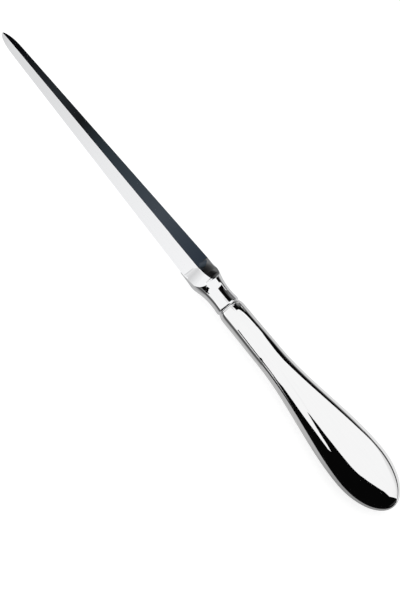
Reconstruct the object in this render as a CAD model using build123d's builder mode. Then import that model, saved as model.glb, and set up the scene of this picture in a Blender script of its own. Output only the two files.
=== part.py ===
"""A hollow-handled letter opener that lies on a desk.

Sizes are in millimetres. Every piece is drawn about the opener's own axis, which is level and runs
along +X, from the tip at station 0 to the butt of the handle. The opener lies flat, with its thickest
part on the desk, the plane z = 0. The origin is on the desk, below the middle of the opener's length.
"""

import os
from math import cos, pi, radians, sin, sqrt

from build123d import *

# Blade, ground to four flat facets
BLADE_LENGTH = 115.85
BLADE_BASE_WIDTH = 12.1
BLADE_BASE_THICKNESS = 3.5
EDGE_BASE_THICKNESS = 0.8
EDGE_TIP_THICKNESS = 0.2
TIP_LENGTH = 12.0
TIP_START_WIDTH = 5.16
TIP_END_WIDTH = 0.9

# Round neck behind the blade, from the facets' end to the shoulder, the waist and the collar
SHOULDER_RUN = 3.95
FLARE_RUN = 7.5
NECK_RUN = 6.5
SHOULDER_SWELL = 0.12
SHOULDER_ROUND = 16.0
WAIST_DIAMETER = 9.1
WAIST_ROUND = 9.0
NECK_END_DIAMETER = 10.0
NECK_END_ROUND = 0.25

# Scoop that hollows each face of the shoulder and runs up into the neck
SCOOP_DEPTH = 0.08
SCOOP_RADIUS = 10.5
SCOOP_END_SLOPE = 0.43
SCOOP_CROWN = 0.08
SCOOP_OVERRUN = 0.7
SCOOP_OVERHANG = 0.1

# Flat tang, hidden in the handle
TANG_LENGTH = 46.1
TANG_WIDTH = 5.4
TANG_END_WIDTH = 3.6
TANG_THICKNESS = 3.2
TANG_NOTCH_RADIUS = 0.9
TANG_NOTCH_PITCH = 9.0
TANG_NOTCHES = 3

# Collar between neck and handle, with the sleeve that plugs the handle's mouth
COLLAR_LENGTH = 1.2
COLLAR_BEAD = 0.4
SLEEVE_LENGTH = 4.0
SLEEVE_WALL = 0.85
FIT_CLEARANCE = 0.05

# Handle, two pressed shells brazed edge to edge
SHELL_WALL = 0.8
SEAM_THICKNESS = 0.15
BRAZE_SETBACK = 0.08
MOUTH_DIAMETER = 10.4
LIP_FLAT = 0.3
BARREL_MARGIN = 1.0
STEM_RUN = 16.8
STEM_WIDTH = 10.9
STEM_THICKNESS = 9.6
SWELL_RUN = 53.2
BULB_WIDTH = 22.3
BULB_THICKNESS = 12.8
BUTT_LENGTH = 20.0
FACE_HALF_ANGLE = 6.0

# How the lofts are laid out
TIP_SHARES = (0, 0.08, 0.18, 0.33, 0.54, 0.75, 1)
BLADE_OVERLAP = 0.3
SCOOP_STEPS = 6
STEM_STEPS = 3
SWELL_STEPS = 7
BUTT_STEPS = 7

os.makedirs("parts", exist_ok=True)

# Stations along the axis
shoulder = BLADE_LENGTH + SHOULDER_RUN
waist = shoulder + FLARE_RUN
neck_end = waist + NECK_RUN
mouth = neck_end + COLLAR_LENGTH
sleeve_end = mouth + SLEEVE_LENGTH
tang_end = sleeve_end + TANG_LENGTH
barrel_end = sleeve_end + BARREL_MARGIN
stem = barrel_end + STEM_RUN
bulb = stem + SWELL_RUN
total_length = bulb + BUTT_LENGTH

# Fits, from the shells' wall inwards
mouth_round = SHELL_WALL - LIP_FLAT
sleeve_radius = MOUTH_DIAMETER / 2 - SHELL_WALL - FIT_CLEARANCE
bore_radius = sleeve_radius - SLEEVE_WALL
spigot_radius = bore_radius - FIT_CLEARANCE

# Slope of the edges in plan, and of the facets across the blade
edge_slope = (BLADE_BASE_WIDTH - TIP_START_WIDTH) / 2 / (BLADE_LENGTH - TIP_LENGTH)
facet_slope = (BLADE_BASE_THICKNESS - EDGE_BASE_THICKNESS) / BLADE_BASE_WIDTH


def blade_half_width(station):
    """Half width of the blade: straight edges, drawn in to the tip by a fourth-power curve."""
    straight = TIP_START_WIDTH / 2 + edge_slope * (station - TIP_LENGTH)
    tip_draw = TIP_START_WIDTH / 2 - edge_slope * TIP_LENGTH - TIP_END_WIDTH / 2
    left = max(0, TIP_LENGTH - station) / TIP_LENGTH
    return straight - tip_draw * left**4


def edge_half_thickness(station):
    """Half thickness of the flat left along the blade's edge."""
    share = station / BLADE_LENGTH
    return (EDGE_TIP_THICKNESS + share * (EDGE_BASE_THICKNESS - EDGE_TIP_THICKNESS)) / 2


def spine_half_thickness(station):
    """Half thickness of the blade over its centre ridge."""
    return edge_half_thickness(station) + facet_slope * blade_half_width(station)


# The scoop starts below the ridge, meets it where the facets end, and rises past the shoulder
shoulder_radius = blade_half_width(shoulder) + SHOULDER_SWELL
scoop_lead = sqrt(SCOOP_DEPTH * (2 * SCOOP_RADIUS - SCOOP_DEPTH))
scoop_start = BLADE_LENGTH - scoop_lead
scoop_floor = BLADE_BASE_THICKNESS / 2 - SCOOP_DEPTH
scoop_rise = shoulder_radius + SCOOP_OVERRUN - scoop_floor
scoop_run = sqrt(scoop_rise * (2 * SCOOP_RADIUS - scoop_rise))
scoop_reach = shoulder_radius + SCOOP_OVERHANG
scoop_start_slope = (scoop_floor - EDGE_BASE_THICKNESS / 2) / (BLADE_BASE_WIDTH / 2)


def ease(share):
    """Goes from 0 to 1 with no slope at either end."""
    held = min(max(share, 0), 1)
    return held * held * (3 - 2 * held)


def handle_half_size(station, stem_size, bulb_size, inset):
    """Half a width or thickness of the handle, or of its hollow where inset is the wall."""
    stem_part = ease((station - barrel_end) / STEM_RUN) * (stem_size - MOUTH_DIAMETER)
    bulb_part = ease((station - stem) / SWELL_RUN) * (bulb_size - stem_size)
    butt_share = max(0, station - bulb) / (BUTT_LENGTH - inset)
    closing = sqrt(max(0, 1 - butt_share**2))
    return ((MOUTH_DIAMETER + stem_part + bulb_part) / 2 - inset) * closing


def handle_half_width(station, inset):
    """Half width of the handle, or of its hollow."""
    return handle_half_size(station, STEM_WIDTH, BULB_WIDTH, inset)


def handle_half_thickness(station, inset):
    """Half thickness of the handle, or of its hollow."""
    return handle_half_size(station, STEM_THICKNESS, BULB_THICKNESS, inset)


# Planes and axis: the opener lies level on its thickest part
face_angle = radians(FACE_HALF_ANGLE)
axis_height = max(BULB_THICKNESS / 2, MOUTH_DIAMETER / 2, shoulder_radius)
tip_point = Vector(-total_length / 2, 0, axis_height)
side_plane = Plane(tip_point, x_dir=(1, 0, 0), z_dir=(0, -1, 0))
plan_plane = Plane(tip_point)
long_axis = Axis(tip_point, (1, 0, 0))


def cross_plane(station):
    """Plane across the axis, with its x to the opener's left and its y up."""
    return Plane(tip_point + Vector(station, 0, 0), x_dir=(0, 1, 0), z_dir=(1, 0, 0))


def blade_section(station):
    """Six-sided section of the blade: two edge flats and four facets."""
    half_width = blade_half_width(station)
    edge = edge_half_thickness(station)
    spine = spine_half_thickness(station)
    with BuildSketch(cross_plane(station)) as section:
        with BuildLine():
            Polyline(
                (half_width, -edge),
                (half_width, edge),
                (0, spine),
                (-half_width, edge),
                (-half_width, -edge),
                (0, -spine),
                close=True,
            )
        make_face()
    return section.sketch


def scoop_section(share):
    """Roof-shaped section that the scoops leave, where share goes from 0 to 1 along them."""
    run = scoop_run * share
    ridge = scoop_floor + SCOOP_RADIUS - sqrt(SCOOP_RADIUS**2 - run**2)
    slope = scoop_start_slope + share**2 * (SCOOP_END_SLOPE - scoop_start_slope)
    eave = ridge - slope * scoop_reach
    crown = (ridge + eave) / 2 + SCOOP_CROWN
    with BuildSketch(cross_plane(scoop_start + run)) as section:
        with BuildLine():
            Line((scoop_reach, -eave), (scoop_reach, eave))
            ThreePointArc((scoop_reach, eave), (scoop_reach / 2, crown), (0, ridge))
            ThreePointArc((0, ridge), (-scoop_reach / 2, crown), (-scoop_reach, eave))
            Line((-scoop_reach, eave), (-scoop_reach, -eave))
            ThreePointArc((-scoop_reach, -eave), (-scoop_reach / 2, -crown), (0, -ridge))
            ThreePointArc((0, -ridge), (scoop_reach / 2, -crown), (scoop_reach, -eave))
        make_face()
    return section.sketch


def oval_section(station, inset):
    """Oval section of the handle, or of its hollow: two flat arcs, and a rounder one at each edge."""
    width = handle_half_width(station, inset)
    thickness = handle_half_thickness(station, inset)
    centre = (width - thickness) * sin(face_angle) / (sin(face_angle) + cos(face_angle) - 1)
    edge_radius = width - centre
    across = centre + edge_radius * sin(face_angle)
    up = edge_radius * cos(face_angle)
    with BuildSketch(cross_plane(station)) as section:
        with BuildLine():
            ThreePointArc((-across, up), (0, thickness), (across, up))
            ThreePointArc((across, up), (width, 0), (across, -up))
            ThreePointArc((across, -up), (0, -thickness), (-across, -up))
            ThreePointArc((-across, -up), (-width, 0), (-across, up))
        make_face()
    return section.sketch


def section_stations(inset):
    """Where the handle's sections stand, closer together round the butt."""
    butt = BUTT_LENGTH - inset
    stations = [barrel_end + STEM_RUN * step / STEM_STEPS for step in range(STEM_STEPS)]
    stations += [stem + SWELL_RUN * step / SWELL_STEPS for step in range(SWELL_STEPS)]
    stations += [bulb + butt * sin(pi / 2 * step / BUTT_STEPS) for step in range(BUTT_STEPS)]
    return stations


def handle_sections(inset):
    """Sections of the handle's outside or hollow, from the barrel to the point of the butt."""
    ovals = [oval_section(station, inset) for station in section_stations(inset)]
    return ovals + [Vertex(*cross_plane(total_length - inset).origin)]


def handle_outline(inset):
    """Plan of the handle, drawn in by an inset, in the plan plane's own coordinates."""
    side = [(station, handle_half_width(station, inset)) for station in section_stations(inset)]
    side.append((total_length - inset, 0))
    far_side = [(station, -across) for station, across in side]
    mouth_edge = MOUTH_DIAMETER / 2 - inset
    with BuildSketch(plan_plane) as outline:
        with BuildLine():
            Spline(side, tangents=[(1, 0), (0, -1)])
            Spline(far_side, tangents=[(1, 0), (0, 1)])
            Polyline(side[0], (mouth, mouth_edge), (mouth, -mouth_edge), far_side[0])
        make_face()
    return outline.sketch_local


def sliced(form, plane, side):
    """The part of a form on one side of a plane."""
    with BuildPart() as piece:
        add(form)
        split(bisect_by=plane, keep=side)
    return piece.part


# Solid left by the two scoops, which trims the round neck
with BuildPart() as scoop_form:
    loft(sections=[scoop_section(step / SCOOP_STEPS) for step in range(SCOOP_STEPS + 1)])
    with BuildSketch(cross_plane(scoop_start + scoop_run)):
        Circle(2 * scoop_reach)
    extrude(amount=neck_end - scoop_start)

# Round neck with its scooped shoulder
neck_start_point = (scoop_start, blade_half_width(scoop_start))
shoulder_point = (shoulder, shoulder_radius)
waist_point = (waist, WAIST_DIAMETER / 2)
neck_end_point = (neck_end, NECK_END_DIAMETER / 2)
with BuildPart() as neck_form:
    with BuildSketch(side_plane) as neck_profile:
        with BuildLine():
            Polyline(
                (scoop_start, 0),
                neck_start_point,
                shoulder_point,
                waist_point,
                neck_end_point,
                (neck_end, 0),
                close=True,
            )
        make_face()
        fillet(neck_profile.vertices().sort_by_distance(shoulder_point)[0], SHOULDER_ROUND)
        fillet(neck_profile.vertices().sort_by_distance(waist_point)[0], WAIST_ROUND)
        fillet(neck_profile.vertices().sort_by_distance(neck_end_point)[0], NECK_END_ROUND)
    revolve(axis=long_axis)
    add(scoop_form.part, mode=Mode.INTERSECT)

# Blade, neck, spigot and tang: one forging
with BuildPart() as blade:
    loft(sections=[blade_section(TIP_LENGTH * share) for share in TIP_SHARES])
    loft(sections=[blade_section(TIP_LENGTH), blade_section(BLADE_LENGTH + BLADE_OVERLAP)], ruled=True)
    add(neck_form.part)
    with BuildSketch(cross_plane(neck_end)):
        Circle(spigot_radius)
    extrude(amount=sleeve_end - neck_end)
    with BuildSketch(plan_plane):
        with BuildLine():
            Polyline(
                (sleeve_end, TANG_WIDTH / 2),
                (tang_end, TANG_END_WIDTH / 2),
                (tang_end, -TANG_END_WIDTH / 2),
                (sleeve_end, -TANG_WIDTH / 2),
                close=True,
            )
        make_face()
        for notch in range(TANG_NOTCHES):
            station = tang_end - (notch + 1) * TANG_NOTCH_PITCH
            share = (station - sleeve_end) / TANG_LENGTH
            edge = (TANG_WIDTH + share * (TANG_END_WIDTH - TANG_WIDTH)) / 2
            with Locations((station, edge), (station, -edge)):
                Circle(TANG_NOTCH_RADIUS, mode=Mode.SUBTRACT)
    extrude(amount=TANG_THICKNESS / 2, both=True)
blade.part.label = "blade"
export_step(blade.part, "parts/blade.step")

# Collar: a rounded ring with a sleeve that plugs the handle's mouth
bead_centre = (neck_end + COLLAR_LENGTH / 2, sleeve_radius)
with BuildPart() as mouth_collar:
    with BuildSketch(side_plane):
        with BuildLine():
            EllipticalCenterArc(bead_centre, COLLAR_LENGTH / 2, COLLAR_BEAD, arc_size=180)
            Polyline(
                (mouth, sleeve_radius),
                (sleeve_end, sleeve_radius),
                (sleeve_end, bore_radius),
                (neck_end, bore_radius),
                (neck_end, sleeve_radius),
            )
        make_face()
    revolve(axis=long_axis)
mouth_collar.part.label = "mouth_collar"
export_step(mouth_collar.part, "parts/mouth_collar.step")

# Outside of the handle: a turned barrel with a rounded lip, and the swelling form behind it
lip_point = (mouth, MOUTH_DIAMETER / 2)
with BuildPart() as handle_form:
    with BuildSketch(side_plane) as barrel_profile:
        with BuildLine():
            Polyline(
                (mouth, 0),
                lip_point,
                (barrel_end, MOUTH_DIAMETER / 2),
                (barrel_end, 0),
                close=True,
            )
        make_face()
        fillet(barrel_profile.vertices().sort_by_distance(lip_point)[0], mouth_round)
    revolve(axis=long_axis)
    loft(sections=handle_sections(0))

# The hollow inside the handle's wall
with BuildPart() as hollow_form:
    with BuildSketch(cross_plane(mouth)):
        Circle(MOUTH_DIAMETER / 2 - SHELL_WALL)
    extrude(amount=barrel_end - mouth)
    loft(sections=handle_sections(SHELL_WALL))

# The two pressed shells, and the braze that fills the seam between them
front_of_seam = plan_plane.offset(SEAM_THICKNESS / 2)
back_of_seam = plan_plane.offset(-SEAM_THICKNESS / 2)
with BuildPart() as handle_front_shell:
    add(sliced(handle_form.part, front_of_seam, Keep.TOP))
    add(sliced(hollow_form.part, front_of_seam, Keep.TOP), mode=Mode.SUBTRACT)
handle_front_shell.part.label = "handle_front_shell"
export_step(handle_front_shell.part, "parts/handle_front_shell.step")

with BuildPart() as handle_back_shell:
    add(sliced(handle_form.part, back_of_seam, Keep.BOTTOM))
    add(sliced(hollow_form.part, back_of_seam, Keep.BOTTOM), mode=Mode.SUBTRACT)
handle_back_shell.part.label = "handle_back_shell"
export_step(handle_back_shell.part, "parts/handle_back_shell.step")

with BuildPart() as seam_braze:
    with BuildSketch(plan_plane) as seam_outline:
        add(handle_outline(0))
        fillet(seam_outline.vertices().group_by(Axis.X)[0], mouth_round)
        add(handle_outline(SHELL_WALL - BRAZE_SETBACK), mode=Mode.SUBTRACT)
    extrude(amount=SEAM_THICKNESS / 2, both=True)
seam_braze.part.label = "seam_braze"
export_step(seam_braze.part, "parts/seam_braze.step")

# Cement that fills the hollow behind the collar and grips the tang
with BuildPart() as handle_filler:
    add(sliced(hollow_form.part, cross_plane(sleeve_end), Keep.TOP))
    add(blade.part, mode=Mode.SUBTRACT)
handle_filler.part.label = "handle_filler"
export_step(handle_filler.part, "parts/handle_filler.step")
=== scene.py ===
"""A mirror-polished letter opener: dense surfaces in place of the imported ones, in a white studio."""
import math

import bmesh
import bpy
from mathutils import Matrix, Vector


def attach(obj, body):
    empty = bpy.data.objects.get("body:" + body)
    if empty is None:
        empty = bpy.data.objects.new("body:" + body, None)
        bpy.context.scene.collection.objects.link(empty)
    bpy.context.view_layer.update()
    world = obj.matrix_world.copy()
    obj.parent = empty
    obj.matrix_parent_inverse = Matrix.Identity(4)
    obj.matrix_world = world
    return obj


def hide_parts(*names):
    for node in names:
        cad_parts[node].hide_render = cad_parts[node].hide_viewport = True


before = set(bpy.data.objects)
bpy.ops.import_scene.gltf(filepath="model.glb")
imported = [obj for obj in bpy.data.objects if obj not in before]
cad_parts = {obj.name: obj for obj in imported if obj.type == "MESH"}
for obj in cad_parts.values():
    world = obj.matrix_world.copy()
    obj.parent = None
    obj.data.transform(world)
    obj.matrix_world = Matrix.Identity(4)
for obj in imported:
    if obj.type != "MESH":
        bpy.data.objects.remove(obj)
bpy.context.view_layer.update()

MM = 0.001

# Sizes of the part in mm, as in its solids. Stations count from the tip.
TOTAL = 230.0
AXIS_HEIGHT = 6.4
BLADE_LENGTH = 115.85
BLADE_BASE_WIDTH = 12.1
BLADE_BASE_THICKNESS = 3.5
EDGE_BASE = 0.8
EDGE_TIP = 0.2
TIP_LENGTH = 12.0
TIP_START_WIDTH = 5.16
TIP_END_WIDTH = 0.9
SCOOP_START = 114.5563
SCOOP_FLOOR = 1.67
SCOOP_RADIUS = 10.5
SCOOP_RUN = 9.1401
SCOOP_REACH = 6.402
SCOOP_START_SLOPE = 0.2099
SCOOP_END_SLOPE = 0.43
SCOOP_CROWN = 0.08
SHOULDER = (119.8, 6.302)
SHOULDER_ROUND = 16.0
SPIGOT_RADIUS = 3.45
SLEEVE_RADIUS = 4.35
BORE_RADIUS = 3.5
COLLAR_BEAD = 0.4
MOUTH = 135.0
SLEEVE_END = 139.0
TANG_END = 185.1
TANG_WIDTH = 5.4
TANG_END_WIDTH = 3.6
TANG_THICKNESS = 3.2
NOTCH_RADIUS = 0.9
NOTCH_PITCH = 9.0
NOTCHES = 3
MOUTH_RADIUS = 5.2
WALL = 0.8
BARREL_END = 140.0
STEM = 156.8
STEM_WIDTH = 10.9
STEM_THICKNESS = 9.6
BULB = 210.0
BULB_WIDTH = 22.3
BULB_THICKNESS = 12.8
FACE_ANGLE = math.radians(6.0)
SEAM_HALF = 0.075
BRAZE_DEPTH = 0.72

# Softer than in the solids, or further back, for the highlights of the photo
WAIST = (127.3, 4.3)
WAIST_ROUND = 24.0
NECK_END = (134.45, 5.0)
NECK_END_ROUND = 1.1
LIP_ROUND = 0.5
LIP_RUN = 2.6

# Small roundings that polishing leaves, too fine for the solids
RIDGE_ROUND = 0.07
SEAM_ROUND = 0.03
CREST_ROUND = 0.35

# How far the tang's mesh starts inside the spigot
TANG_OVERLAP = 0.2

# The tip's blunt end: stations, and the share of the section's full size there
BLUNT_TIP = ((0, 0.5), (0.05, 0.72), (0.14, 0.88), (0.3, 1.0))

# Steps of the meshes
TIP_STEPS = 46
FACET_STEPS = 130
EDGE_STEPS = 4
SCOOP_STEPS = 24
CREST_STEPS = 8
NECK_STEPS = 84
NECK_END_STEPS = 6
NOTCH_STEPS = 12
FACE_STEPS = 16
ROUND_STEPS = 34
LIP_STEPS = 20
BRAZE_LIP_STEPS = 12
# Along the handle's barrel, stem, bulb and butt
SHELL_STEPS = (5, 34, 96, 64)
BRAZE_STEPS = (3, 24, 64, 40)
BEAD_STEPS = 28
RING_STEPS = 160
INNER_LIP_STEP = 0.02
HALVINGS = 48

# Distances in mm within which points are joined and slivers dropped, and bends that stay crisp
WELD_DISTANCE = 0.0006
SLIVER_DISTANCE = 0.0005
CRISP_BEND = math.radians(40)
COLLAR_CRISP_BEND = math.radians(50)

# The seam's largest share of a section's round edge, which counts at the butt's end
SEAM_SHARE_LIMIT = 0.9

# The buffing lines' darker tone, as a share of the metal's colour
DULL_SHARE = (0.985, 0.985, 0.988)

# Patches of a skin, some of which meet in a crisp edge
OUTSIDE, FACET, SCOOP, CREST, NECK, EDGE, HIDDEN = range(7)

edge_slope = (BLADE_BASE_WIDTH - TIP_START_WIDTH) / 2 / (BLADE_LENGTH - TIP_LENGTH)
facet_slope = (BLADE_BASE_THICKNESS - EDGE_BASE) / BLADE_BASE_WIDTH


def at(station, across, up):
    """A point in the row frame, in metres, from a station along the opener and offsets from its axis."""
    return Vector(((station - TOTAL / 2) * MM, across * MM, (AXIS_HEIGHT + up) * MM))


def around(station, radius, turn):
    """A point at a radius and a turn about the axis."""
    return at(station, radius * math.cos(turn), radius * math.sin(turn))


def spaced(start, end, count):
    """Evenly spaced values, both ends included."""
    return [start + (end - start) * step / count for step in range(count + 1)]


def ease(share):
    """Goes from 0 to 1 with no slope at either end."""
    held = min(max(share, 0), 1)
    return held * held * (3 - 2 * held)


def root_between(low, high, function):
    """Where an increasing function crosses zero, by halving."""
    for _ in range(HALVINGS):
        middle = (low + high) / 2
        if function(middle) < 0:
            low = middle
        else:
            high = middle
    return (low + high) / 2


def blade_half_width(station):
    """Half width of the blade: straight edges, drawn in to the tip."""
    straight = TIP_START_WIDTH / 2 + edge_slope * (station - TIP_LENGTH)
    tip_draw = TIP_START_WIDTH / 2 - edge_slope * TIP_LENGTH - TIP_END_WIDTH / 2
    left = max(0, TIP_LENGTH - station) / TIP_LENGTH
    return straight - tip_draw * left**4


def edge_half_thickness(station):
    """Half thickness of the flat along the blade's edge."""
    return (EDGE_TIP + station / BLADE_LENGTH * (EDGE_BASE - EDGE_TIP)) / 2


def softened(across):
    """Distance from the ridge, with the ridge's polished rounding."""
    return math.sqrt(across**2 + RIDGE_ROUND**2)


def facet_height(station, across):
    """Height of a blade facet over the axis."""
    rise = facet_slope * (blade_half_width(station) - softened(across))
    return edge_half_thickness(station) + max(rise, 0)


def scoop_height(station, across):
    """Height of the scooped roof over the axis: two hollow-ended slopes with a slight crown."""
    run = min(max(station - SCOOP_START, 0), SCOOP_RUN)
    share = run / SCOOP_RUN
    ridge = SCOOP_FLOOR + SCOOP_RADIUS - math.sqrt(SCOOP_RADIUS**2 - run**2)
    slope = SCOOP_START_SLOPE + share**2 * (SCOOP_END_SLOPE - SCOOP_START_SLOPE)
    spot = softened(across)
    along = spot / SCOOP_REACH
    return ridge - slope * spot + 4 * SCOOP_CROWN * along * (1 - along)


def corner_arc(before, corner, after, radius):
    """Centre and ends of the rounding at a corner of the neck's profile."""
    corner = Vector(corner)
    back = (Vector(before) - corner).normalized()
    ahead = (Vector(after) - corner).normalized()
    half = math.acos(max(-1, min(1, back.dot(ahead)))) / 2
    centre = corner + (back + ahead).normalized() * radius / math.sin(half)
    setback = radius / math.tan(half)
    return centre, corner + back * setback, corner + ahead * setback


base_half_width = blade_half_width(SCOOP_START)
edge_turn = math.atan2(edge_half_thickness(SCOOP_START), base_half_width)
neck_start = (SCOOP_START, base_half_width)
shoulder_arc = corner_arc(neck_start, SHOULDER, WAIST, SHOULDER_ROUND)
waist_arc = corner_arc(SHOULDER, WAIST, NECK_END, WAIST_ROUND)
end_arc = corner_arc(WAIST, NECK_END, (NECK_END[0], 0), NECK_END_ROUND)


def neck_radius(station):
    """Radius of the round neck before its last rounding."""
    centre, first, last = shoulder_arc
    if station < first.x:
        share = (station - neck_start[0]) / (first.x - neck_start[0])
        return neck_start[1] + share * (first.y - neck_start[1])
    if station < last.x:
        return centre.y + math.sqrt(SHOULDER_ROUND**2 - (station - centre.x) ** 2)
    flare_end = last
    centre, first, last = waist_arc
    if station < first.x:
        share = (station - flare_end.x) / (first.x - flare_end.x)
        return flare_end.y + share * (first.y - flare_end.y)
    if station < last.x:
        return centre.y - math.sqrt(WAIST_ROUND**2 - (station - centre.x) ** 2)
    share = (station - last.x) / (NECK_END[0] - last.x)
    return last.y + share * (NECK_END[1] - last.y)


class Skin:
    """Grids of points, welded into one closed mesh."""

    def __init__(self, name):
        self.name = name
        self.bm = bmesh.new()
        self.patch = self.bm.faces.layers.int.new("patch")

    def grid(self, rows, patch=OUTSIDE):
        """Adds a grid of quads over rows of points."""
        laid = [[self.bm.verts.new(point) for point in row] for row in rows]
        for row, following in zip(laid, laid[1:]):
            for step in range(len(row) - 1):
                quad = (row[step], row[step + 1], following[step + 1], following[step])
                self.bm.faces.new(quad)[self.patch] = patch

    def cap(self, points, patch):
        """Closes a flat ring of points with a fan about its middle."""
        middle = self.bm.verts.new(sum(points, Vector()) / len(points))
        laid = [self.bm.verts.new(point) for point in points]
        for first, second in zip(laid, laid[1:] + laid[:1]):
            self.bm.faces.new((middle, first, second))[self.patch] = patch

    def mirrored(self, direction, about):
        """Adds the mirror image across a plane through a point."""
        geometry = self.bm.verts[:] + self.bm.edges[:] + self.bm.faces[:]
        twin = bmesh.ops.duplicate(self.bm, geom=geometry)
        for vert in [item for item in twin["geom"] if isinstance(item, bmesh.types.BMVert)]:
            vert.co -= 2 * (vert.co - about).dot(direction) * direction

    def weld(self):
        """Joins points that coincide and drops the faces that this flattens."""
        bmesh.ops.remove_doubles(self.bm, verts=self.bm.verts[:], dist=WELD_DISTANCE * MM)
        bmesh.ops.dissolve_degenerate(self.bm, edges=self.bm.edges[:], dist=SLIVER_DISTANCE * MM)
        bmesh.ops.recalc_face_normals(self.bm, faces=self.bm.faces[:])

    def object(self, angle, crisp=()):
        """The finished object, smooth apart from sharp bends and the crisp meetings of its patches."""
        for face in self.bm.faces:
            face.smooth = True
        for edge in self.bm.edges:
            sides = frozenset(face[self.patch] for face in edge.link_faces)
            edge.smooth = sides not in crisp and edge.calc_face_angle(0) <= angle
        mesh = bpy.data.meshes.new(self.name)
        self.bm.to_mesh(mesh)
        self.bm.free()
        made = bpy.data.objects.new(self.name, mesh)
        bpy.context.collection.objects.link(made)
        return made


def blade_stations(end):
    """Stations along the blade behind its blunt tip."""
    blunt_end = BLUNT_TIP[-1][0]
    return spaced(blunt_end, TIP_LENGTH, TIP_STEPS)[1:] + spaced(TIP_LENGTH, end, FACET_STEPS)[1:]


def facet_row(share, end):
    """Points along a facet, at a share of the blade's half width."""
    row = []
    for station, scale in BLUNT_TIP:
        across = share * blade_half_width(station) * scale
        row.append(at(station, across, facet_height(station, across / scale) * scale))
    for station in blade_stations(end):
        across = share * blade_half_width(station)
        row.append(at(station, across, facet_height(station, across)))
    return row


def edge_row(portion):
    """Points along the flat on the blade's edge, at a portion of its half thickness."""
    row = []
    for station, scale in BLUNT_TIP:
        across = blade_half_width(station) * scale
        row.append(at(station, across, edge_half_thickness(station) * scale * portion))
    for station in blade_stations(SCOOP_START):
        row.append(at(station, blade_half_width(station), edge_half_thickness(station) * portion))
    return row


def neck_tail(turn):
    """Rounding at the neck's end, its end face, and the spigot down to its middle."""
    centre, first, _ = end_arc
    begin = math.atan2(first.y - centre.y, first.x - centre.x)
    points = []
    for portion in spaced(0, 1, NECK_END_STEPS)[1:]:
        bend = begin * (1 - portion)
        station = centre.x + NECK_END_ROUND * math.cos(bend)
        points.append((station, centre.y + NECK_END_ROUND * math.sin(bend)))
    points += [(NECK_END[0], SPIGOT_RADIUS), (SLEEVE_END, SPIGOT_RADIUS), (SLEEVE_END, 0)]
    return [around(station, radius, turn) for station, radius in points]


def neck_row(begin, turn, first=None):
    """Points along the neck and spigot at one turn about the axis; the first may be given."""
    stations = spaced(begin, end_arc[1].x, NECK_STEPS)
    row = [around(station, neck_radius(station), turn) for station in stations]
    if first is not None:
        row[0] = first
    return row + neck_tail(turn)


def quarter_rows(share):
    """Rows of the facet, scoop, crest and neck at a share of the blade's half width."""

    def lift(station):
        across = share * blade_half_width(station)
        return scoop_height(station, across) - facet_height(station, across)

    meets = SCOOP_START
    if lift(SCOOP_START) < 0:
        meets = root_between(SCOOP_START, BLADE_LENGTH + 1, lift)
    facet = facet_row(share, meets)
    last = facet[-1]
    if share == 1:
        # Along the edge, scoop and crest shrink to a point
        neck = neck_row(SCOOP_START, edge_turn, last)
        return facet, [last] * (SCOOP_STEPS + 1), [last] * (CREST_STEPS + 1), neck

    across = share * base_half_width

    def proud(station):
        return scoop_height(station, across) ** 2 + across**2 - neck_radius(station) ** 2

    crest = root_between(SCOOP_START, SCOOP_START + SCOOP_RUN, proud)
    rounding = min(CREST_ROUND, (crest - meets) / 3)
    meets_across = share * blade_half_width(meets)
    scoop = [last]
    for portion in spaced(0, 1, SCOOP_STEPS)[1:]:
        station = meets + (crest - rounding - meets) * portion
        spot = meets_across + (across - meets_across) * portion
        scoop.append(at(station, spot, scoop_height(station, spot)))
    crest_height = scoop_height(crest, across)
    neck = neck_row(crest + rounding, math.atan2(crest_height, across))
    corner = at(crest, across, crest_height)
    bend = []
    for portion in spaced(0, 1, CREST_STEPS):
        back = scoop[-1].lerp(corner, portion)
        bend.append(back.lerp(corner.lerp(neck[0], portion), portion))
    return facet, scoop, bend, neck


def blade_object():
    """Blade, scooped shoulder, round neck, spigot and tang, from one quarter mirrored twice."""
    skin = Skin("polished_blade")
    # Closer together at the ridge, for its rounding
    shares = [0, 0.004, 0.008, 0.013, 0.02, 0.03, 0.045, 0.065, 0.09] + spaced(0.12, 1, 44)
    facets, scoops, crests, necks = zip(*[quarter_rows(share) for share in shares])
    skin.grid(facets, FACET)
    skin.grid(scoops, SCOOP)
    skin.grid(crests, CREST)
    skin.grid(necks, NECK)

    portions = spaced(1, 0, EDGE_STEPS)
    flats = [edge_row(portion) for portion in portions]
    sides = []
    for portion, flat in zip(portions, flats):
        sides.append(neck_row(SCOOP_START, edge_turn * portion, flat[-1]))
    skin.grid(flats, EDGE)
    skin.grid(sides, NECK)
    tip_ring = [row[0] for row in facets] + [row[0] for row in flats]
    skin.grid([tip_ring, [at(0, 0, 0)] * len(tip_ring)], EDGE)

    middle = at(TOTAL / 2, 0, 0)
    skin.mirrored(Vector((0, 1, 0)), middle)
    skin.mirrored(Vector((0, 0, 1)), middle)
    skin.weld()
    tang(skin)
    bmesh.ops.recalc_face_normals(skin.bm, faces=skin.bm.faces[:])
    crisp = {frozenset((FACET, SCOOP)), frozenset((FACET, EDGE))}
    return skin.object(CRISP_BEND, crisp)


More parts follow.
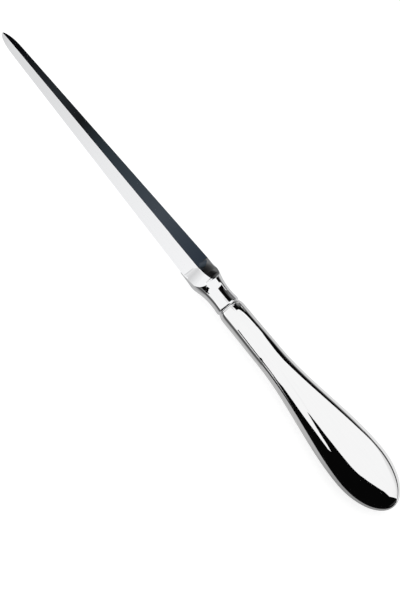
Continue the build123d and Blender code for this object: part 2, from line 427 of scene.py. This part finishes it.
def tang(skin):
    """Flat notched tang behind the spigot, as a closed shape of its own."""
    outline = [(SLEEVE_END - TANG_OVERLAP, TANG_WIDTH / 2)]
    taper = (TANG_END_WIDTH - TANG_WIDTH) / 2 / (TANG_END - SLEEVE_END)
    for notch in range(NOTCHES, 0, -1):
        middle = TANG_END - notch * NOTCH_PITCH
        edge = TANG_WIDTH / 2 + taper * (middle - SLEEVE_END)
        for turn in spaced(math.pi, 2 * math.pi, NOTCH_STEPS):
            outline.append((middle + NOTCH_RADIUS * math.cos(turn), edge + NOTCH_RADIUS * math.sin(turn)))
    outline.append((TANG_END, TANG_END_WIDTH / 2))
    half = TANG_THICKNESS / 2
    rows = []
    for side, up in ((1, half), (-1, half), (-1, -half), (1, -half)):
        rows.append([at(station, side * edge, up) for station, edge in outline])
    piece = Skin("tang")
    piece.grid(rows + rows[:1], HIDDEN)
    for end in (0, -1):
        piece.cap([row[end] for row in rows], HIDDEN)
    piece.weld()
    held = bpy.data.meshes.new("tang")
    piece.bm.to_mesh(held)
    piece.bm.free()
    skin.bm.from_mesh(held)
    bpy.data.meshes.remove(held)


def half_size(station, stem_size, bulb_size, inset):
    """Half a width or thickness of the handle, drawn in by an inset."""
    size = 2 * MOUTH_RADIUS
    size += ease((station - BARREL_END) / (STEM - BARREL_END)) * (stem_size - 2 * MOUTH_RADIUS)
    size += ease((station - STEM) / (BULB - STEM)) * (bulb_size - stem_size)
    share = max(0, station - BULB) / (TOTAL - BULB - inset)
    return (size / 2 - inset) * math.sqrt(max(0, 1 - share**2))


def drawn_in(station, inset):
    """The station of an inset surface that belongs to a station of the outside."""
    return min(station, BULB + (station - BULB) * (TOTAL - inset - BULB) / (TOTAL - BULB))


def handle_stations(barrel_steps, stem_steps, bulb_steps, butt_steps):
    """Stations of the handle behind its lip, closer together towards the butt's end."""
    stations = spaced(MOUTH + LIP_RUN, BARREL_END, barrel_steps)[1:]
    stations += spaced(BARREL_END, STEM, stem_steps)[1:]
    stations += spaced(STEM, BULB, bulb_steps)[1:]
    for portion in spaced(0, 1, butt_steps)[1:-1]:
        stations.append(BULB + (TOTAL - BULB) * math.sin(math.pi / 2 * portion))
    return stations


# Turns over the flat face of the handle's oval, and shares of its round edge, closer at the seam
face_turns = [FACE_ANGLE * share for share in spaced(0, 1, FACE_STEPS)]
edge_shares = spaced(0, 1, ROUND_STEPS)[1:-3] + [0.94, 0.965, 0.982, 0.993, 1.0]


def oval_row(station, inset):
    """Upper half of the handle's section at one station, from one seam edge over to the other."""
    width = half_size(station, STEM_WIDTH, BULB_WIDTH, inset)
    thickness = half_size(station, STEM_THICKNESS, BULB_THICKNESS, inset)
    sine, cosine = math.sin(FACE_ANGLE), math.cos(FACE_ANGLE)
    centre = (width - thickness) * sine / (sine + cosine - 1)
    edge_radius = width - centre
    face_radius = edge_radius + centre / sine
    last = math.acos(min(SEAM_HALF / edge_radius, SEAM_SHARE_LIMIT))
    half = []
    for turn in face_turns:
        half.append((face_radius * math.sin(turn), thickness - face_radius * (1 - math.cos(turn))))
    for share in edge_shares:
        turn = FACE_ANGLE + (last - FACE_ANGLE) * share
        half.append((centre + edge_radius * math.sin(turn), edge_radius * math.cos(turn)))
    return [(-across, up) for across, up in reversed(half)] + half[1:]


def shell_object(name, side):
    """One pressed half of the hollow handle: outside, rounded lip, wall and inside."""

    def row(station, inset):
        return [at(station, across, side * up) for across, up in oval_row(station, inset)]

    def round_row(station, radius):
        points = oval_row(MOUTH, MOUTH_RADIUS - radius)
        return [at(station, across, side * up) for across, up in points]

    bore = MOUTH_RADIUS - WALL
    outer = [round_row(MOUTH, bore)]
    inner = [round_row(MOUTH, bore)]
    for step, bend in enumerate(spaced(math.pi, math.pi / 2, LIP_STEPS), start=1):
        radius = MOUTH_RADIUS - LIP_ROUND * (1 - math.sin(bend))
        outer.append(round_row(MOUTH + LIP_RUN * (1 + math.cos(bend)), radius))
        inner.append(round_row(MOUTH + INNER_LIP_STEP * step, bore))
    for station in handle_stations(*SHELL_STEPS):
        outer.append(row(station, 0))
        inner.append(row(drawn_in(station, WALL), WALL))
    count = len(outer[0])
    outer.append([at(TOTAL, 0, side * SEAM_HALF)] * count)
    inner.append([at(TOTAL - WALL, 0, side * SEAM_HALF)] * count)

    skin = Skin(name)
    skin.grid(outer, OUTSIDE)
    skin.grid(inner, HIDDEN)
    for column in (0, -1):
        skin.grid([[line[column] for line in outer], [line[column] for line in inner]], HIDDEN)
    skin.weld()
    return skin.object(CRISP_BEND, {frozenset((OUTSIDE, HIDDEN))})


def collar_object():
    """Bright rounded ring and the sleeve that plugs the handle's mouth, turned about the axis."""
    half = (MOUTH - NECK_END[0]) / 2
    profile = [(NECK_END[0], BORE_RADIUS)]
    for bend in spaced(math.pi, 0, BEAD_STEPS):
        side = math.copysign(math.sqrt(abs(math.cos(bend))), math.cos(bend))
        top = math.sqrt(max(0, math.sin(bend)))
        profile.append((NECK_END[0] + half + half * side, SLEEVE_RADIUS + COLLAR_BEAD * top))
    profile += [(SLEEVE_END, SLEEVE_RADIUS), (SLEEVE_END, BORE_RADIUS), (NECK_END[0], BORE_RADIUS)]
    turns = spaced(0, 2 * math.pi, RING_STEPS)
    skin = Skin("bright_collar")
    skin.grid([[around(station, radius, turn) for turn in turns] for station, radius in profile])
    skin.weld()
    return skin.object(COLLAR_CRISP_BEND)


def braze_object():
    """Thin line of brazing metal between the shells, following the handle's plan."""
    stations = []
    for share in spaced(0, 1, BRAZE_LIP_STEPS):
        stations.append(MOUTH + LIP_RUN * (1 - math.cos(math.pi / 2 * share)))
    stations += handle_stations(*BRAZE_STEPS)
    outside = []
    inside = []
    for station in stations:
        across = half_size(station, STEM_WIDTH, BULB_WIDTH, 0)
        short = (MOUTH + LIP_RUN - station) / LIP_RUN
        if short > 0:
            across -= LIP_ROUND * (1 - math.sqrt(max(0, 1 - short**2)))
        outside.append((station, across - SEAM_ROUND / 2))
        inner_station = drawn_in(station, BRAZE_DEPTH)
        inside.append((inner_station, half_size(inner_station, STEM_WIDTH, BULB_WIDTH, BRAZE_DEPTH)))
    outside.append((TOTAL - SEAM_ROUND / 2, 0))
    inside.append((TOTAL - BRAZE_DEPTH, 0))

    rows = []
    top, bottom = SEAM_HALF, -SEAM_HALF
    for plan, up in ((outside, top), (outside, bottom), (inside, bottom), (inside, top)):
        near = [at(station, across, up) for station, across in plan]
        far = [at(station, -across, up) for station, across in reversed(plan)]
        rows.append(near + far[1:])
    skin = Skin("seam_line")
    skin.grid(rows + rows[:1])
    for column in (0, -1):
        skin.grid([[rows[0][column], rows[1][column]], [rows[3][column], rows[2][column]]])
    skin.weld()
    return skin.object(CRISP_BEND)


def new_material(name):
    """A material with nodes, and its tree."""
    material = bpy.data.materials.new(name)
    material.use_nodes = True
    return material, material.node_tree


def set_sockets(node, values):
    """Sets values on a node's own sockets."""
    for socket, value in values.items():
        node.inputs[socket].default_value = value


def added(tree, kind, values=None):
    """A new node, with values set on its own sockets."""
    node = tree.nodes.new(kind)
    set_sockets(node, values or {})
    return node


def polished_metal(name, colour, roughness, along, haze):
    """Mirror-polished metal: buffing lines in tint and relief, a cloudy haze and fine hairlines."""
    material, tree = new_material(name)
    join = tree.links.new
    shader = tree.nodes["Principled BSDF"]
    set_sockets(shader, {"Metallic": 1.0})
    place = added(tree, "ShaderNodeTexCoord")

    stretch = added(tree, "ShaderNodeMapping", {"Scale": along})
    join(place.outputs["Object"], stretch.inputs["Vector"])
    lines = added(tree, "ShaderNodeTexNoise", {"Scale": 1.0, "Detail": 6.0})
    join(stretch.outputs["Vector"], lines.inputs["Vector"])

    clouds = added(tree, "ShaderNodeTexNoise", {"Scale": 95.0, "Detail": 4.0})
    join(place.outputs["Object"], clouds.inputs["Vector"])

    cells = added(tree, "ShaderNodeTexVoronoi", {"Scale": 210.0})
    cells.feature = "DISTANCE_TO_EDGE"
    join(place.outputs["Object"], cells.inputs["Vector"])
    thin = {"From Min": 0.0, "From Max": 0.012, "To Min": 1.0, "To Max": 0.0}
    hairline = added(tree, "ShaderNodeMapRange", thin)
    join(cells.outputs["Distance"], hairline.inputs["Value"])

    uneven = {"From Min": 0.3, "From Max": 0.75, "To Min": roughness * 0.6, "To Max": roughness * 1.5}
    rough = added(tree, "ShaderNodeMapRange", uneven)
    join(clouds.outputs["Fac"], rough.inputs["Value"])
    scratched = added(tree, "ShaderNodeMath", {1: haze})
    scratched.operation = "MULTIPLY_ADD"
    join(hairline.outputs["Result"], scratched.inputs[0])
    join(rough.outputs["Result"], scratched.inputs[2])
    join(scratched.outputs["Value"], shader.inputs["Roughness"])

    tint = added(tree, "ShaderNodeValToRGB")
    dull, bright = tint.color_ramp.elements
    dull.position = 0.25
    dull.color = (*[part * share for part, share in zip(colour, DULL_SHARE)], 1)
    bright.position = 0.7
    bright.color = (*colour, 1)
    join(lines.outputs["Fac"], tint.inputs["Fac"])
    join(tint.outputs["Color"], shader.inputs["Base Color"])

    bump = added(tree, "ShaderNodeBump", {"Strength": 0.012, "Distance": 0.00005})
    join(lines.outputs["Fac"], bump.inputs["Height"])
    join(bump.outputs["Normal"], shader.inputs["Normal"])
    return material


def cement(name):
    """Set cement inside the handle: grainy, dull and uneven."""
    material, tree = new_material(name)
    join = tree.links.new
    shader = tree.nodes["Principled BSDF"]
    set_sockets(shader, {"Roughness": 0.9})
    place = added(tree, "ShaderNodeTexCoord")
    grain = added(tree, "ShaderNodeTexNoise", {"Scale": 900.0, "Detail": 8.0})
    join(place.outputs["Object"], grain.inputs["Vector"])
    tint = added(tree, "ShaderNodeValToRGB")
    dark, pale = tint.color_ramp.elements
    dark.color = (0.34, 0.3, 0.25, 1)
    pale.color = (0.68, 0.63, 0.56, 1)
    join(grain.outputs["Fac"], tint.inputs["Fac"])
    join(tint.outputs["Color"], shader.inputs["Base Color"])
    bump = added(tree, "ShaderNodeBump", {"Strength": 0.5, "Distance": 0.0002})
    join(grain.outputs["Fac"], bump.inputs["Height"])
    join(bump.outputs["Normal"], shader.inputs["Normal"])
    return material


def glowing(name, tone):
    """Plain grey emitting surface of a card."""
    material, tree = new_material(name)
    tree.nodes.clear()
    out = added(tree, "ShaderNodeOutputMaterial")
    glow = added(tree, "ShaderNodeEmission", {"Color": (tone, tone, tone, 1), "Strength": 1.0})
    tree.links.new(glow.outputs["Emission"], out.inputs["Surface"])
    return material


def graded(name, direction, stops):
    """Emitting surface graded along a direction: stops pair a distance in mm with a grey or a colour."""
    material = glowing(name, 1)
    tree = material.node_tree
    join = tree.links.new
    place = added(tree, "ShaderNodeTexCoord")
    along = added(tree, "ShaderNodeVectorMath", {1: direction})
    along.operation = "DOT_PRODUCT"
    join(place.outputs["Object"], along.inputs[0])
    first, last = stops[0][0], stops[-1][0]
    share = added(tree, "ShaderNodeMapRange", {"From Min": first * MM, "From Max": last * MM})
    join(along.outputs["Value"], share.inputs["Value"])
    tones = added(tree, "ShaderNodeValToRGB")
    ramp = tones.color_ramp
    while len(ramp.elements) < len(stops):
        ramp.elements.new(0.5)
    for element, (distance, tone) in zip(ramp.elements, stops):
        element.position = (distance - first) / (last - first)
        colour = tone if isinstance(tone, tuple) else (tone, tone, tone)
        element.color = (*colour, 1)
    join(share.outputs["Result"], tones.inputs["Fac"])
    join(tones.outputs["Color"], tree.nodes["Emission"].inputs["Color"])
    return material


def card(name, corners, material):
    """A flat card of the studio, seen only in reflections; corners in mm."""
    mesh = bpy.data.meshes.new(name)
    mesh.from_pydata([Vector(corner) * MM for corner in corners], [], [tuple(range(len(corners)))])
    made = bpy.data.objects.new(name, mesh)
    bpy.context.collection.objects.link(made)
    made.data.materials.append(material)
    made.visible_camera = False
    made.visible_shadow = False
    made.visible_diffuse = False


def level_card(name, height, plan, material):
    """A card that lies level at a height."""
    card(name, [(x, y, height) for x, y in plan], material)


def upright_card(name, depth, outline, material):
    """A card that stands along the opener, at a depth to one side of it."""
    card(name, [(x, depth, z) for x, z in outline], material)


def oblong(left, right, low, high):
    """Corners of a rectangle."""
    return [(left, low), (right, low), (right, high), (left, high)]


blade_steel = polished_metal("blade_steel_polish", (0.93, 0.935, 0.945), 0.03, (60, 2600, 2600), 0.05)
plated = polished_metal("plated_shell_polish", (0.94, 0.94, 0.94), 0.022, (90, 1500, 1500), 0.04)
collar_metal = polished_metal("collar_polish", (0.95, 0.95, 0.95), 0.03, (2400, 300, 300), 0.04)
braze_metal = polished_metal("braze_polish", (0.88, 0.87, 0.85), 0.09, (400, 900, 900), 0.08)

pieces = [
    (blade_object(), "blade", "blade_steel", blade_steel),
    (collar_object(), "mouth_collar", "plated_collar", collar_metal),
    (shell_object("polished_front_shell", 1), "handle_front_shell", "plated_shell", plated),
    (shell_object("polished_back_shell", -1), "handle_back_shell", "plated_shell", plated),
    (braze_object(), "seam_braze", "silver_braze", braze_metal),
]
for piece, node, slot, material in pieces:
    piece.data.materials.append(material)
    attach(piece, "root")
    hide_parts(node)

# The cement keeps the mesh of its solid
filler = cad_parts["handle_filler"]
filler_material = cement("set_cement_grain")
if not filler.material_slots:
    filler.data.materials.append(filler_material)
for held in filler.material_slots:
    held.material = filler_material

# Floor, partly self-lit so that it shows white
FLOOR_HALF = 4.0
floor_mesh = bpy.data.meshes.new("floor")
floor_corners = [(x, y, 0) for x, y in oblong(-FLOOR_HALF, FLOOR_HALF, -FLOOR_HALF, FLOOR_HALF)]
floor_mesh.from_pydata(floor_corners, [], [(0, 1, 2, 3)])
floor = bpy.data.objects.new("floor", floor_mesh)
bpy.context.collection.objects.link(floor)
floor_material, floor_tree = new_material("white_floor")
set_sockets(floor_tree.nodes["Principled BSDF"], {
    "Base Color": (0.5, 0.5, 0.5, 1),
    "Emission Color": (1, 1, 1, 1),
    "Emission Strength": 0.65,
    "Roughness": 0.8,
    "Specular IOR Level": 0.1,
})
floor.data.materials.append(floor_material)

# White surround
world = bpy.data.worlds.new("white_studio")
bpy.context.scene.world = world
world.use_nodes = True
set_sockets(world.node_tree.nodes["Background"], {"Color": (1, 1, 1, 1), "Strength": 0.98})

# Cards round the object, which a mirror finish needs to show its form; the camera doesn't see them.
# Distances are in mm: X along the opener from its middle, Y across it, Z up.
ALONG_X = (1, 0, 0)
ALONG_Y = (0, 1, 0)
ALONG_Z = (0, 0, 1)
black = glowing("black_card", 0.002)

# On the near side of the handle and neck: the bulb's black band, the grey lower rims from painted floor
# shade, the dark wedge
over = [(82, 11), (100, 13), (120, 19), (140, 27), (160, 36), (180, 43), (200, 50), (240, 75)]
over += [(400, 170), (1500, 800), (1500, -80), (60, -80), (66, -62), (62, -50), (52, -40)]
over += [(46, -28), (49, -18), (58, -4), (70, 9)]
level_card("card_over_handle", 100, over, black)
beside = [(38, 0), (33.5, 8), (33.5, 37), (36, 46), (41, 60), (48, 85), (58, 100)]
beside += [(1500, 100), (1500, 0)]
upright_card("card_beside_handle", -80, beside, black)
under = [(42, -80), (42, -20), (50, -26), (60, -30), (70, -29), (80, -25), (90, -22), (100, -19)]
under += [(110, -15), (118, -11), (122, -8), (126, 2), (145, 20), (300, 109), (1500, 802), (1500, -80)]
level_card("card_under_handle", 0.4, under, black)
card("card_past_butt", [(1499, y, z) for y, z in oblong(-80, 799, 0.4, 100)], black)
# Painted shade: a grey sheet on the floor beside the bulb, seen only in reflections, darkens the floor
# there as its shade would, for the bulb's grey lower rim
bulb_floor = [(42, -34), (140, -34), (140, 9), (105, 9), (105, 0), (42, 0)]
bulb_floor_shade_tones = graded("bulb_floor_shade_card", ALONG_X, [(70, 0.48), (82, 0.43), (92, 0.33), (110, 0.29)])
level_card("card_floor_shade_bulb", 0.2, bulb_floor, bulb_floor_shade_tones)
# Painted shade: a sheet on the floor beside the neck and stem, seen only in reflections, greyed and
# darkened in bands as the floor's shade would be, for the grey lower rims and the dark line above them
near = [(-300, 0.8), (-85, 0.58), (-66, 0.34), (-50, 0.12), (-28, 0.07), (-19, 0.13)]
near += [(-14, 0.48), (-4, 0.52)]
level_card("card_floor_shade_stem", 0.2, oblong(-3, 42, -300, 0), graded("near_floor_shade_card", ALONG_Y, near))
upright_card("card_low_line", -80, oblong(19, 34, 11, 24), black)
far_side = [(53, 0), (400, 0), (400, 140), (122, 150), (130, 216), (140, 290), (107, 290), (96, 215)]
far_side += [(84, 160), (78, 150), (66, 95), (53, 25)]
upright_card("card_past_shoulder", -300, far_side, black)
level_card("card_past_stem", 0.3, [(22, -82), (38, -82), (110, -300), (53, -300)], black)

# On their far side: the black lines along neck and stem, and the upper rims, partly from painted floor
# shade
above = [(-25, 8), (15.5, 8), (16, 30), (16.5, 60), (17.5, 80), (18, 115), (10, 115), (10, 60), (5, 48)]
above += [(-25, 46)]
level_card("card_over_neck", 60, above, black)
line = [(24.5, 115), (27, 82), (30, 66), (33, 54), (35.5, 44), (39, 42), (42, 54), (47, 68), (54, 84)]
line += [(60, 98), (66, 115), (72, 200), (72, 235), (20, 235)]
level_card("card_along_stem", 60, line, black)
dim = glowing("dim_card", 0.07)
level_card("card_past_neck", 60.5, [(-8, 46), (11, 46), (11, 115), (-4, 115)], dim)
low = [(14.8, 27), (18, 24), (20, 20), (22, 24), (23.5, 28), (26, 31), (34, 31.5), (34, 92), (19.5, 92)]
low += [(17.3, 60), (16, 45)]
level_card("card_near_line", 30, low, black)
upright_card("card_glint", 198, oblong(-150, -58, 0, 60), glowing("glint_card", 0.7))
horizon = graded("horizon_card", ALONG_Z, [(8, 0.38), (30, 0.17), (45, 0.05), (72, 0.015)])
# Painted shade: a light grey sheet on the floor beyond the handle, seen only in reflections, greys the
# floor there as shade would, for the upper rims
beyond = graded("far_floor_shade_card", ALONG_X, [(30, 0.6), (70, 0.8)])
level_card("card_floor_shade_far", 0.3, [(-5, 9), (135, 9), (300, 109), (300, 210), (-5, 210)], beyond)
soft = graded("soft_card", ALONG_Z, [(60, 0.74), (150, 0.8), (215, 0.93), (300, 0.98)])
upright_card("card_soft_bulb", 207, [(62, 60), (430, 60), (430, 300), (215, 300)], soft)
upright_card("card_past_bulb", 208, oblong(60, 900, 0, 60), dim)
rise = [(-8, 0), (900, 0), (900, 52), (75, 52), (45, 72), (-8, 72)]
upright_card("card_horizon", 210, rise, horizon)

# Behind and over the blade: the dark facet, the dark half of the scoop, and the pale facet's grading
facet = [(-165, (0.003, 0.003, 0.004)), (-139, (0.022, 0.026, 0.03)), (-122, (0.01, 0.011, 0.012))]
facet += [(-105, (0.028, 0.037, 0.045)), (-67, (0.058, 0.07, 0.085)), (-40, (0.03, 0.04, 0.055))]
upright_card("card_behind_blade", 200, oblong(-500, -12, 172, 260), graded("dusk_card", ALONG_X, facet))
hollow = [(-320, 0.006), (-280, 0.018), (-256, 0.035), (-240, 0.07), (-218, 0.18), (-205, 0.19)]
hollow_tones = graded("hollow_card", (1, 0, -0.85), hollow)
upright_card("card_behind_scoop", 200, oblong(-700, -8, 0, 172), hollow_tones)
rising = [(-235, 0.012), (-224, 0.009), (-219, 0.013), (-214, 0.021), (-211, 0.028), (-207, 0.045)]
rising += [(-200, 0.14), (-190, 0.15)]
rising_tones = graded("low_scoop_card", (1, 0, -0.35), rising)
upright_card("card_low_scoop", 199.5, oblong(-700, -8, 0, 78), rising_tones)
shade = graded("shade_card", (1, 1, 0), [(0, 0.008), (8, 0.13)])
level_card("card_beyond_blade", 0.4, [(-400, 14), (-8, 14), (-4, 40), (-20, 200), (-400, 200)], shade)
sky = [(-3000, 0.98), (-1600, 0.87), (-1045, 0.76), (-690, 0.68), (-473, 0.75), (-395, 0.78)]
sky += [(-330, 0.88), (-200, 0.98)]
high = [(-200, -150), (-560, -150), (-640, -200), (-1045, -260), (-3000, -420), (-3000, 400)]
high += [(-1045, 150), (-560, 110), (-200, 110)]
level_card("card_high", 1500, high, graded("high_card", ALONG_X, sky))

# Camera: over the flat, turned towards one edge and a little towards the butt
VIEW_TURN = math.radians(22)
VIEW_TILT = math.radians(7)
MM_PER_PIXEL = 0.3708
IMAGE_HEIGHT = 600
SENSOR = 36
CENTRE_STATION = 125.25
CENTRE_ACROSS = 6.5
DISTANCE = 1500.0
CLIP_END = 20
# The opener's direction in the image, from tip to butt
ALONG = Vector((0.63623, -0.7715))
to_camera = Vector((
    math.sin(VIEW_TILT),
    -math.sin(VIEW_TURN) * math.cos(VIEW_TILT),
    math.cos(VIEW_TURN) * math.cos(VIEW_TILT),
))
length_seen = (Vector((1, 0, 0)) - to_camera.x * to_camera).normalized()
width_seen = to_camera.cross(length_seen)
right = ALONG.x * length_seen - ALONG.y * width_seen
upward = ALONG.y * length_seen + ALONG.x * width_seen
target = at(CENTRE_STATION, 0, 0) - width_seen * CENTRE_ACROSS * MM
camera_data = bpy.data.cameras.new("camera")
camera = bpy.data.objects.new("camera", camera_data)
bpy.context.collection.objects.link(camera)
turning = Matrix((right, upward, to_camera)).transposed().to_4x4()
camera.matrix_world = Matrix.Translation(target + to_camera * DISTANCE * MM) @ turning
camera_data.sensor_width = SENSOR
camera_data.lens = SENSOR * DISTANCE / (IMAGE_HEIGHT * MM_PER_PIXEL)
camera_data.clip_end = CLIP_END
bpy.context.scene.camera = camera
bpy.context.scene.view_settings.view_transform = "Standard"
